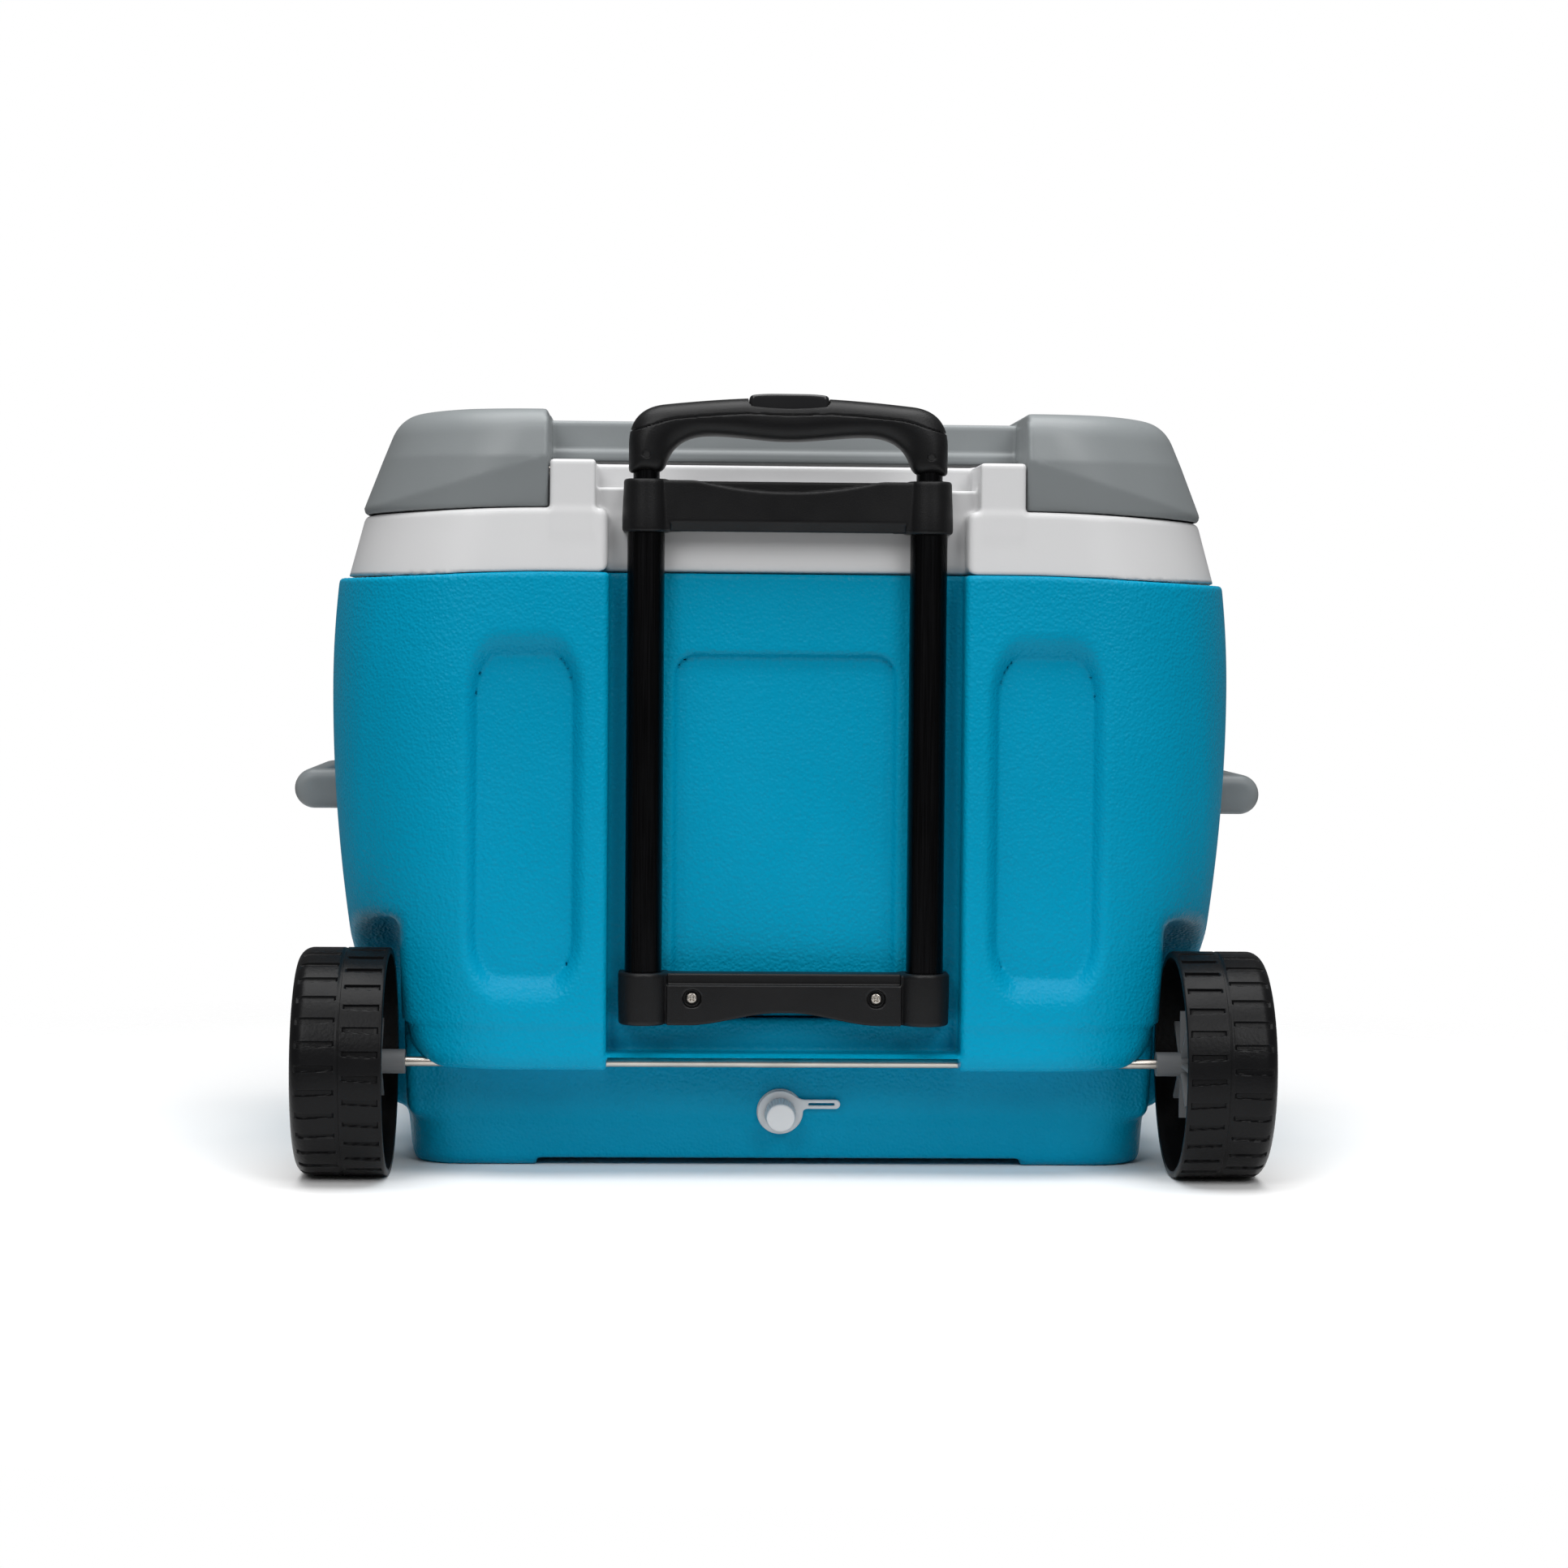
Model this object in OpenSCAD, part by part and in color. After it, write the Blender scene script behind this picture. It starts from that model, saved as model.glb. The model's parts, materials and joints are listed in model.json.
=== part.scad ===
// Wheeled cooler with a telescopic pull handle. Millimetres, +Z up, origin on the
// ground under the middle of the whole object. The pull handle and the wheels are at -Y.

/* [Body] */
// Half width of the body where it bulges most
body_half_w = 297.5; // [296:0.5:300]
// Height at which the body is widest
widest_z = 315; // [300:1:330]
// Rear plane of the two bulges beside the pull handle
rear_y = -189; // [-191:1:-188]
// Front plane of the body
front_y = 235; // [232:1:238]
// Height of the top edge of the blue shell
shell_top = 392; // [390:1:394]
// Height of the underside of the rear bulges
bulge_z = 71; // [70:1:72]
// Wall of the blue shell
shell_wall = 5; // [4:0.5:6]
// Gap between pieces that only touch
fit = 0.25; // [0.2:0.05:0.3]

/* [Liner] */
// Height of the ledge that the lid skirt closes on
ledge_z = 433; // [432.8:0.1:433.2]
// Height of the rim round the tub
rim_z = 464; // [463:1:465]
// Wall of the white tub
liner_wall = 3.5; // [3:0.5:4]
// Height of the tub floor
floor_z = 30; // [29:1:31]

/* [Lid] */
// Height of the raised lid blocks
lid_top = 497; // [496:0.5:498]
// Height of the middle of the lid
lid_mid_top = 493; // [492:1:494]
// Wall of the grey lid cover
lid_wall = 3.2; // [3:0.1:3.5]
// Distance of the hinge axis behind the origin
hinge_y = -172; // [-172.5:0.5:-171.5]
// Height of the hinge axis
hinge_z = 457; // [456.8:0.1:457.2]
// Inner face of the lid blocks, from the middle
block_x = 153.5; // [153.2:0.1:154]

/* [Wheels] */
// Wheel radius
wheel_r = 74; // [73:1:74]
// Inner face of a wheel, from the middle
wheel_x = 254.6; // [254:0.2:256]
// Width of a wheel
wheel_w = 58.8; // [58:0.2:59.4]
// Axle diameter
axle_d = 6.35; // [6:0.05:6.4]
// Distance of the axle behind the origin
axle_y = -161; // [-161:1:-160]

/* [Pull handle] */
// Distance of each leg from the middle
leg_x = 91; // [90.5:0.5:91.5]
// Distance of the legs behind the origin
leg_y = -177; // [-177.5:0.5:-176.5]
// Radius of the outer tubes
outer_r = 12; // [11.9:0.1:12.1]
// Radius of the middle tubes
middle_r = 10.2; // [10.1:0.1:10.2]
// Radius of the inner tubes
inner_r = 8.5; // [8.4:0.1:8.5]
// Height of the top of the grip
grip_top = 505; // [504:1:505]

/* [Side handles] */
// Distance of each side-handle pivot from the middle
side_pivot_x = 286; // [285.5:0.5:286.5]
// Height of the side-handle pivots
side_pivot_z = 247; // [245:1:249]
// Reach of a side handle from its pivot
side_reach = 27; // [26:0.5:27]
// Half the length of a side handle
side_half = 76; // [70:1:78]

/* [Drain] */
// Height of the drain where it leaves the wall
drain_z = 38; // [38:0.5:39]

/* [Hidden] */
blue = "#0093b8";
grey = "#858c8e";
white = "#e8e8ea";
black = "#1c1c1e";
steel = "#b8b4ae";
foam = "#efe3b8";
blue_draft = 0.00046;   // how fast the body narrows below its widest height
top_draft = 0.0008;     // and above it
rear_corner = 100;      // plan radius of the rear corners
front_corner = 75;      // plan radius of the front corners
base_step = 58;         // depth of the step under the rear bulges
base_lean = 10;         // how far the wall under it leans in towards the floor
base_half_w = 249;      // half width of the base
side_sill = 33;         // height of the body's underside at the sides
channel_half = 114.5;   // half width of the pull handle's channel
channel_y = -164;       // floor of that channel
well_x = 249;           // inner side of the wheel wells
well_r = 94;            // radius of the wheel wells
axle_z = wheel_r;
drain_tilt = 8;
drain_y = rear_y + base_step + base_lean * (bulge_z - drain_z) / bulge_z;
bracket_back = channel_y - 0.3;
bar_y = -112;           // rear face of the middle of the lid
rim_y = -120;           // rear face of the rim
post_in = 123.5;
post_out = 152.7;
$fn = 48;

function arc(cx, cy, r, a0, a1, n) =
    [for (i = [0:n]) let (a = a0 + (a1 - a0) * i / n) [cx + r * cos(a), cy + r * sin(a)]];

// A rectangle with one radius at its rear corners and another at its front ones.
function plan(hw, y0, y1, rr, rf) = concat(
    arc(hw - rr, y0 + rr, rr, -90, 0, 10), arc(hw - rf, y1 - rf, rf, 0, 90, 8),
    arc(-hw + rf, y1 - rf, rf, 90, 180, 8), arc(-hw + rr, y0 + rr, rr, 180, 270, 10));

function half_width(z) =
    body_half_w - (z < widest_z ? blue_draft : top_draft) * pow(z - widest_z, 2);

function both_sides(half) =
    concat(half, [for (i = [len(half) - 1:-1:0]) [-half[i][0], half[i][1]]]);

module across_y(points, y0 = -300, y1 = 300)
    translate([0, y1, 0]) rotate([90, 0, 0]) linear_extrude(y1 - y0) polygon(points);

module across_x(points, half = 400)
    rotate([90, 0, 90]) translate([0, 0, -half]) linear_extrude(2 * half) polygon(points);

module box(x0, x1, y0, y1, z0, z1)
    translate([x0, y0, z0]) cube([x1 - x0, y1 - y0, z1 - z0]);

module pair() { children(); mirror([1, 0, 0]) children(); }

// A bar along X, and a bar along Y.
module bar_x(x0, x1, y, z, r) translate([x0, y, z]) rotate([0, 90, 0]) cylinder(h = x1 - x0, r = r);
module bar_y(x, y0, y1, z, r) translate([x, y1, z]) rotate([90, 0, 0]) cylinder(h = y1 - y0, r = r);

// A round-cornered recess cut in from the rear.
module panel(x0, x1, z0, z1, r, y0, y1)
    across_y(concat(arc(x1 - r, z1 - r, r, 0, 90, 6), arc(x0 + r, z1 - r, r, 90, 180, 6),
        arc(x0 + r, z0 + r, r, 180, 270, 6), arc(x1 - r, z0 + r, r, 270, 360, 6)), y0, y1);

module drain_place() translate([0, drain_y, drain_z]) rotate([90 + drain_tilt, 0, 0]) children();

// ---- body ----

module body_block(d) {
    widths = [for (i = [0:16]) let (z = side_sill + (shell_top - side_sill) * i / 16) [half_width(z) - d, z]];
    difference() {
        intersection() {
            translate([0, 0, d]) linear_extrude(shell_top - d + (d > 0 ? 1 : 0))
                polygon(plan(body_half_w - d, rear_y + d, front_y - d, rear_corner - d, front_corner - d));
            across_y(both_sides(concat([[245 - d, 0], [base_half_w - d, side_sill + d * 0.6]],
                [for (p = widths) [p[0], p[1] + (p[1] < side_sill + 1 ? d : 0)]],
                [[half_width(shell_top) - d, shell_top + 2]])));
            across_x([[rear_y + d, shell_top + 2], [rear_y + d, bulge_z + d],
                [rear_y + base_step + d, bulge_z + d], [rear_y + base_step + base_lean + d, 0],
                [front_y - 14 - d, 0], [front_y - d, 190], [front_y - d, widest_z],
                [front_y - 5 - d, shell_top + 2]]);
        }
        pair() {
            bar_x(well_x - d, 400, axle_y, axle_z, well_r + d);
            box(well_x - d, 400, -300, axle_y, -1, axle_z);
            box(well_x - d, 400, -300, axle_y + sqrt(well_r * well_r - 40 * 40), -1, side_sill + 1);
            box(side_pivot_x - 16.5 - d, 400, -side_half - 3 - d, side_half + 3 + d,
                side_pivot_z - 38 - d, side_pivot_z + 46 + d);
        }
    }
}

module body_cavity() {
    difference() {
        body_block(shell_wall);
        box(-channel_half - 5, channel_half + 5, -300, channel_y + 12, -1, 500);
        pair() panel(127, 212, 114, 348, 20, -300, rear_y + 14);
        pair() box(215, 400, -300, -128, -1, 95);
        box(-400, 400, -300, -300 + 182, -1, bulge_z + shell_wall);
        bar_x(-400, 400, axle_y, axle_z, 12);
    }
}

module body_shell() color(blue) {
    difference() {
        body_block(0);
        difference() {
            body_cavity();
            pair() for (s = [-1, 1])
                bar_y(side_pivot_x, s * (side_half + 8) - 6, s * (side_half + 8) + 6, side_pivot_z, 7);
            pair() bar_y(59.5, -160, -144, 118.4, 5);
        }
        box(-channel_half, channel_half, -300, channel_y, 84, 400);
        box(-channel_half, channel_half, -300, -154, -1, 84);
        box(-72.5, 72.5, -200, channel_y + 4, 84, 92);
        panel(-72.5, 72.5, 84, 341, 12, -200, channel_y + 4);
        pair() panel(137, 199, 134, 336, 16, -300, rear_y + 9);
        pair() {
            difference() {
                box(219, 300, -300, rear_y + base_step, 0, 98);
                bar_y(219, -301, rear_y + base_step + 1, 98, 27);
            }
            box(channel_half - 1, 300, axle_y - 3.3, axle_y + 3.3, -1, axle_z);
            bar_x(channel_half - 1, 300, axle_y, axle_z, 3.3);
            bar_x(241.8, 300, axle_y, axle_z, 9.5);
            bar_y(side_pivot_x, -side_half - 12, side_half + 12, side_pivot_z, 3.05);
            bar_y(59.5, -200, -146, 118.4, 2.05);
        }
        box(-161, 161, -300, 300, -1, 5);
        drain_place() translate([0, 0, -60]) cylinder(h = 80, r = 8.3);
    }
}

// The tub's outer form, grown by d all round.
module tub(d, z0, z1) {
    taper = 24 / (rim_z - floor_z);
    half_top = 243 + (z1 - rim_z) * 35 / (rim_z - floor_z);
    intersection() {
        across_y(both_sides([[208 - (floor_z - z0) * 35 / 434 + d, z0], [half_top + d, z1]]));
        across_x([[-90 + (floor_z - z0) * taper - d, z0], [172 - (floor_z - z0) * taper + d, z0],
            [198 + (z1 - rim_z) * taper + d, z1], [-114 - (z1 - rim_z) * taper - d, z1]]);
        translate([0, 0, z0]) linear_extrude(z1 - z0)
            polygon(plan(246 + d, -116 - d, 200 + d, 40 + d, 40 + d));
    }
}

module collar(d, z0, z1)
    intersection() {
        across_y(both_sides([[286 - d, shell_top], [278 - d, ledge_z]]));
        across_x([[rear_y + 2 + d, shell_top], [front_y - 7 - d, shell_top],
            [front_y - 11 - d, ledge_z], [rear_y + 4 + d, ledge_z]]);
        translate([0, 0, z0]) linear_extrude(z1 - z0)
            polygon(plan(286 - d, rear_y + 2 + d, front_y - 7 - d, rear_corner - 7 - d, front_corner - 7 - d));
    }

module body_foam() color(foam) {
    difference() {
        union() {
            intersection() {
                body_cavity();
                box(-400, 400, -300, 300, 0, shell_top - 1);
            }
            difference() {
                collar(4.5, shell_top + 1, ledge_z - 5);
                box(-post_in, post_in, -300, channel_y + 5, 0, 500);
            }
        }
        difference() {
            box(-400, 400, -300, 300, shell_top - 1.1, shell_top + 1.1);
            collar(12, shell_top, shell_top + 3);
        }
        tub(liner_wall + fit, floor_z - liner_wall - fit, rim_z + 1);
        pair() for (s = [-1, 1])
            bar_y(side_pivot_x, s * (side_half + 8) - 7, s * (side_half + 8) + 7, side_pivot_z, 7.5);
        pair() bar_y(59.5, -164, -143, 118.4, 5.3);
        drain_place() translate([0, 0, -60]) cylinder(h = 80, r = 8.3);
    }
}

module liner() color(white) {
    difference() {
        union() {
            tub(liner_wall, floor_z - liner_wall, rim_z);
            difference() {
                collar(0, shell_top + fit, ledge_z);
                collar(4, shell_top - 1, ledge_z - 4);
            }
            difference() {
                box(-post_in, post_in, channel_y, channel_y + 4, shell_top + fit, ledge_z);
                box(-400, 400, -300, channel_y, 0, 500);
            }
            pair() box(channel_half - 0.5, channel_half + 4.5, rear_y + 6, channel_y + 2, shell_top + fit, ledge_z);
            intersection() {
                tub(6.5, ledge_z - 3, rim_z);
                box(-400, 400, rim_y, 400, ledge_z - 1, rim_z);
            }
            box(-post_in, post_in, channel_y, rim_y + 2, ledge_z - 1, 447);
            pair() box(post_in, post_out, rear_y + 4, rim_y + 2, ledge_z - 1, rim_z);
        }
        box(-channel_half + 0.5, channel_half - 0.5, -300, channel_y, 300, ledge_z + 1);
        box(-post_in, post_in, -300, channel_y, ledge_z - 0.5, 500);
        tub(0, floor_z, rim_z + 1);
        pair() bar_x(138, 200, hinge_y, hinge_z, 3.02);
        drain_place() translate([0, 0, -60]) cylinder(h = 80, r = 8.3);
    }
}

// ---- lid ----

module lid_form(d, z0 = 433.6) {
    slope = 23 / 59;
    intersection() {
        translate([0, 0, z0]) linear_extrude(lid_top - d - z0)
            polygon(plan(278 - d, -186.5 + d, 224 - d, 92 - d, 66 - d));
        across_y(both_sides(concat([[278 + slope * 10 - d, 423.6], [257 - d, lid_top - 11]],
            [for (a = [30:30:90]) [246 - d + 11 * cos(a), lid_top - 11 - d + 11 * sin(a)]])));
        across_x([[-174 + d, 427.4], [-186.5 + d, 466], [-182 + d, lid_top - 11], [-171 + d, lid_top - d],
            [206 - d, lid_top - d], [217 - d, lid_top - 11], [225 - d, 427.4]]);
    }
}

module lid_shell() color(grey) {
    difference() {
        lid_form(0);
        difference() {
            lid_form(lid_wall, 430);
            box(-block_x - lid_wall, block_x + lid_wall, -300, bar_y + lid_wall, 0, 600);
            box(-block_x - lid_wall, block_x + lid_wall, -300, 300, lid_mid_top - lid_wall, 600);
            pair() bar_x(block_x, 170, hinge_y, hinge_z, 8);
        }
        box(-block_x, block_x, -300, bar_y, 0, 600);
        box(-block_x, block_x, -300, 300, lid_mid_top, 600);
        box(-block_x - lid_wall - 1, block_x + lid_wall + 1, -132, 214, 0, rim_z + 2);
        pair() bar_x(block_x - 1, 172, hinge_y, hinge_z, 3.08);
    }
}

module lid_inside(z0, z1) {
    intersection() {
        lid_form(lid_wall + fit);
        difference() {
            box(-400, 400, -300, 300, z0, z1);
            box(-block_x - lid_wall - fit, block_x + lid_wall + fit, -300, bar_y + lid_wall + fit, 0, 600);
            box(-block_x - lid_wall - fit, block_x + lid_wall + fit, -300, 300,
                lid_mid_top - lid_wall - fit, 600);
        }
    }
}

module lid_foam() color(foam) lid_inside(470, 510);

module lid_liner() color(white) {
    lid_inside(466.6, 469.7);
    difference() {
        tub(-7, 448, 466.7);
        tub(-10.5, 440, 463);
        box(-400, 400, -300, bar_y + lid_wall + fit, 0, 600);
    }
}

module hinge_pin(s) color(steel)
    mirror([s < 0 ? 1 : 0, 0, 0]) difference() {
        bar_x(138.2, 169.5, hinge_y, hinge_z, 3);
        bar_x(168, 170, hinge_y, hinge_z, 1);
    }

module hinge_pin_left() hinge_pin(-1);
module hinge_pin_right() hinge_pin(1);

// ---- side handles ----

module side_handle(s) color(grey)
    mirror([s < 0 ? 1 : 0, 0, 0]) difference() {
        union() {
            bar_y(side_pivot_x, -side_half, side_half, side_pivot_z, 13.5);
            bar_y(side_pivot_x + side_reach, -side_half, side_half, side_pivot_z, 13.5);
            box(side_pivot_x, side_pivot_x + side_reach, -side_half, side_half,
                side_pivot_z - 13.5, side_pivot_z + 13.5);
        }
        box(200, side_pivot_x + side_reach - 8, -side_half + 12, side_half - 12, 200, 300);
        bar_y(side_pivot_x, -100, 100, side_pivot_z, 3.08);
    }

module side_handle_left() side_handle(-1);
module side_handle_right() side_handle(1);

module side_handle_pins(s) color(steel)
    mirror([s < 0 ? 1 : 0, 0, 0])
        for (e = [-1, 1])
            bar_y(side_pivot_x, e > 0 ? side_half - 13 : -side_half - 10, e > 0 ? side_half + 10 : -side_half + 13,
                side_pivot_z, 3);

module side_handle_pins_left() side_handle_pins(-1);
module side_handle_pins_right() side_handle_pins(1);

// ---- wheels ----

wheel_out = wheel_x + wheel_w;

module axle() color(steel) bar_x(-wheel_out + 4, wheel_out - 4, axle_y, axle_z, axle_d / 2);

module axle_push_nuts() color(steel)
    pair() difference() {
        bar_x(wheel_out - 9, wheel_out - 6.5, axle_y, axle_z, 7.5);
        bar_x(wheel_out - 10, wheel_out, axle_y, axle_z, axle_d / 2);
    }

// A turned form round the axle, from points [radius, distance along X].
module turned(points) translate([0, axle_y, axle_z]) rotate([0, 90, 0]) rotate_extrude() polygon(points);

module tyre(s) color(black)
    mirror([s < 0 ? 1 : 0, 0, 0]) difference() {
        turned(concat([[wheel_r - 5, wheel_x]], arc(wheel_r - 4, wheel_x + 4, 4, -80, 0, 3),
            [[wheel_r, wheel_x + 25], [wheel_r - 2, wheel_x + 26.5], [wheel_r - 2, wheel_x + 29],
            [wheel_r, wheel_x + 30.5]], arc(wheel_r - 7, wheel_out - 7, 7, 0, 80, 4),
            [[46, wheel_out], [46, wheel_out - 5], [wheel_r - 10, wheel_out - 7],
            [wheel_r - 7, wheel_out - 14], [wheel_r - 7, wheel_x + 24], [40, wheel_x + 24],
            [40, wheel_x + 20], [wheel_r - 7, wheel_x + 20], [wheel_r - 5, wheel_x]]));
        for (a = [0:12:348])
            translate([0, axle_y, axle_z]) rotate([a, 0, 0]) {
                translate([wheel_x - 1, -1.2, wheel_r - 1.6]) cube([20, 2.4, 5]);
                translate([wheel_x + 36, -1.2, wheel_r - 1.6]) cube([21, 2.4, 5]);
            }
    }

module tyre_left() tyre(-1);
module tyre_right() tyre(1);

module wheel_hub(s) color(grey)
    mirror([s < 0 ? 1 : 0, 0, 0]) difference() {
        union() {
            turned([[axle_d / 2 + 0.07, wheel_x - 9.6], [7.9, wheel_x - 9.6], [7.9, wheel_x + 20.2],
                [39.8, wheel_x + 20.2], [39.8, wheel_x + 23.8], [9, wheel_x + 23.8],
                [9, wheel_out - 9.6], [axle_d / 2 + 0.07, wheel_out - 9.6]]);
            for (a = [0:45:315])
                translate([0, axle_y, axle_z]) rotate([a, 0, 0])
                    translate([wheel_x + 6, -1.2, 7]) cube([14.5, 2.4, 28]);
        }
        turned([[24, wheel_x + 19], [25, wheel_x + 19], [25, wheel_x + 20.7], [24, wheel_x + 20.7]]);
    }

module wheel_hub_left() wheel_hub(-1);
module wheel_hub_right() wheel_hub(1);

module hub_cap(s) color(grey)
    mirror([s < 0 ? 1 : 0, 0, 0])
        turned([[0, wheel_out - 3.2], [40, wheel_out - 4.2], [45.7, wheel_out - 4.8], [45.7, wheel_out - 2],
            [30, wheel_out - 1], [0, wheel_out - 0.6]]);

module hub_cap_left() hub_cap(-1);
module hub_cap_right() hub_cap(1);

// ---- pull handle ----

tube_low = 104;
tube_top = 449.6;

module leg(z0, z1, r, bore)
    translate([leg_x, leg_y, z0]) difference() {
        cylinder(h = z1 - z0, r = r);
        translate([0, 0, -1]) cylinder(h = z1 - z0 + 2, r = bore);
    }

module side_of(s) mirror([s < 0 ? 1 : 0, 0, 0]) children();

module outer_tube_left() color(black) side_of(-1) leg(tube_low, tube_top, outer_r, outer_r - 0.8);
module outer_tube_right() color(black) side_of(1) leg(tube_low, tube_top, outer_r, outer_r - 0.8);
module outer_bush_left() color(black) side_of(-1) leg(436, tube_top, outer_r - 0.85, middle_r + 0.1);
module outer_bush_right() color(black) side_of(1) leg(436, tube_top, outer_r - 0.85, middle_r + 0.1);
module middle_tube_left() color(steel) side_of(-1) leg(106, 449, middle_r, middle_r - 0.9);
module middle_tube_right() color(steel) side_of(1) leg(106, 449, middle_r, middle_r - 0.9);
module middle_bush_left() color(black) side_of(-1) leg(436, 449, middle_r - 0.95, inner_r + 0.1);
module middle_bush_right() color(black) side_of(1) leg(436, 449, middle_r - 0.95, inner_r + 0.1);
module middle_glide_left() color(black) side_of(-1) leg(106, 122, outer_r - 0.9, middle_r + 0.04);
module middle_glide_right() color(black) side_of(1) leg(106, 122, outer_r - 0.9, middle_r + 0.04);
module inner_tube_left() color(black) side_of(-1) leg(108, 480, inner_r, inner_r - 0.8);
module inner_tube_right() color(black) side_of(1) leg(108, 480, inner_r, inner_r - 0.8);
module inner_glide_left() color(black) side_of(-1) leg(108, 124, middle_r - 1, inner_r + 0.04);
module inner_glide_right() color(black) side_of(1) leg(108, 124, middle_r - 1, inner_r + 0.04);

module latch_block(s) color(white) side_of(s) difference() {
    translate([leg_x, leg_y, 112]) cylinder(h = 20, r = inner_r - 0.9);
    bar_y(leg_x, leg_y - 10, leg_y + 10, 120, 2.55);
}

module latch_block_left() latch_block(-1);
module latch_block_right() latch_block(1);

module latch_pins() color(steel) pair() bar_y(leg_x, leg_y - 7.2, leg_y + 7.2, 120, 2.5);

module bracket_body(z0, z1, r, half) {
    difference() {
        translate([leg_x, leg_y, z0]) cylinder(h = z1 - z0, r = r);
        box(0, 200, bracket_back, -100, z0 - 1, z1 + 1);
    }
    box(leg_x - r, leg_x + r, leg_y, bracket_back, z0, z1);
    box(-1, half, -187, bracket_back, z0, z1);
}

module top_bracket() color(black) difference() {
    pair() bracket_body(418, 452, 15.4, 78);
    pair() translate([leg_x, leg_y, 400]) {
        cylinder(h = tube_top + 0.2 - 400, r = outer_r + 0.05);
        cylinder(h = 100, r = middle_r + 0.4);
    }
    bar_y(0, -190, -150, 844, 400);
    box(-68, 68, -190, -183, 425, 440);
    box(-68, 68, -175, -150, 410, 448);
}

module bottom_bracket() color(black) difference() {
    pair() bracket_body(101, 135, 16.2, 76);
    pair() {
        translate([leg_x, leg_y, tube_low - 0.2]) cylinder(h = 100, r = outer_r + 0.05);
        bar_y(59.5, -190, -181, 118.4, 6.1);
        bar_y(59.5, -190, -160, 118.4, 2.3);
    }
    bar_y(0, -190, -150, -391, 500);
    box(-45, 45, -175, -150, 112, 132);
    box(-75, 75, -190, -184, 127, 136);
}

module bracket_screws() color(steel) pair() difference() {
    union() {
        bar_y(59.5, -183.4, -181.1, 118.4, 4);
        bar_y(59.5, -181.2, -148, 118.4, 2);
    }
    for (a = [45, 135])
        translate([59.5, -183.5, 118.4]) rotate([0, a, 0]) cube([4.4, 3, 0.9], center = true);
}

grip_y0 = -192;
grip_y1 = -164.5;

module grip() color(black) difference() {
    across_y(both_sides(concat(
        [[79.5, 455.5], [102.5, 455.5], [102.5, 484]], arc(90, 486, 12, 0, 70, 4),
        [for (x = [75:-25:0]) [x, grip_top - 9 * pow(x / 90, 2)]])), grip_y0, grip_y1);
    across_y(both_sides(concat([[79.5, 455], [78, 464]], arc(60, 461, 18, 10, 90, 5),
        [[40, 478.4], [20, 476.8], [0, 476.4]])), grip_y0 - 1, grip_y1 + 1);
    pair() {
        translate([leg_x, leg_y, 450]) cylinder(h = 30.3, r = inner_r + 0.03);
        translate([leg_x, leg_y, 450]) cylinder(h = 38, r = 5);
        bar_y(leg_x, grip_y0 - 1, grip_y1 + 1, 467, 2.03);
    }
    box(-96, 96, leg_y - 5, leg_y + 5, 481.8, 491);
    box(-26, 26, leg_y - 11, leg_y + 11, 489.6, 520);
}

module grip_pins() color(black) pair() difference() {
    bar_y(leg_x, grip_y0 + 1.4, grip_y1 - 1.4, 467, 2);
    translate([leg_x, leg_y, 440]) cylinder(h = 60, r = inner_r + 0.05);
}

module grip_button() color(grey) difference() {
    union() {
        across_y(both_sides([[25.5, 494], [25.5, 504.6], [21, 506.4], [0, 507]]), leg_y - 10.5, leg_y + 10.5);
        box(-8, 8, leg_y - 4, leg_y + 4, 490, 495);
    }
    translate([0, leg_y, 488]) cylinder(h = 4, r = 3.1);
}

module button_bar() color(white) difference() {
    box(-95, 95, leg_y - 4, leg_y + 4, 486.6, 489.9);
    translate([0, leg_y, 480]) cylinder(h = 12, r = 2.9);
}

module release_rod(s) color(steel) side_of(s)
    translate([leg_x, leg_y, 140]) cylinder(h = 346.5, r = 2.5);

module release_rod_left() release_rod(-1);
module release_rod_right() release_rod(1);

// A wire coiled along Z: its ring of points at turn angle a.
spring_r = 2.2;
wire_r = 0.3;
spring_low = 482.2;
spring_turns = 4;
spring_rise = 1.3;
function wire_ring(a) = [for (i = [0:7]) let (t = 45 * i, r = spring_r + wire_r * cos(t))
    [r * cos(a), r * sin(a), wire_r + spring_rise * a / 360 + wire_r * sin(t)]];

module button_spring() color(steel) translate([0, leg_y, spring_low]) {
    steps = spring_turns * 12;
    polyhedron(
        points = [for (k = [0:steps]) each wire_ring(30 * k)],
        faces = concat([[for (i = [0:7]) i]],
            [for (k = [0:steps - 1], i = [0:7])
                [8 * k + i, 8 * k + 8 + i, 8 * k + 8 + (i + 1) % 8, 8 * k + (i + 1) % 8]],
            [[for (i = [7:-1:0]) 8 * steps + i]]));
}

// ---- drain ----

module drain_spout() color(white) drain_place() difference() {
    union() {
        translate([0, 0, 1.3]) cylinder(h = 2.2, r = 15.3);
        translate([0, 0, -43]) cylinder(h = 44.4, r = 8);
        cylinder(h = 15, r = 8.4);
    }
    translate([0, 0, -50]) cylinder(h = 80, r = 6);
}

module drain_gasket() color(black) drain_place() difference() {
    translate([0, 0, 0.2]) cylinder(h = 1, r = 13);
    cylinder(h = 4, r = 8.45);
}

module drain_nut() color(white) drain_place() difference() {
    translate([0, 0, -42.5]) cylinder(h = 4.4, r = 12, $fn = 6);
    translate([0, 0, -45]) cylinder(h = 10, r = 8.05);
}

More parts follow.
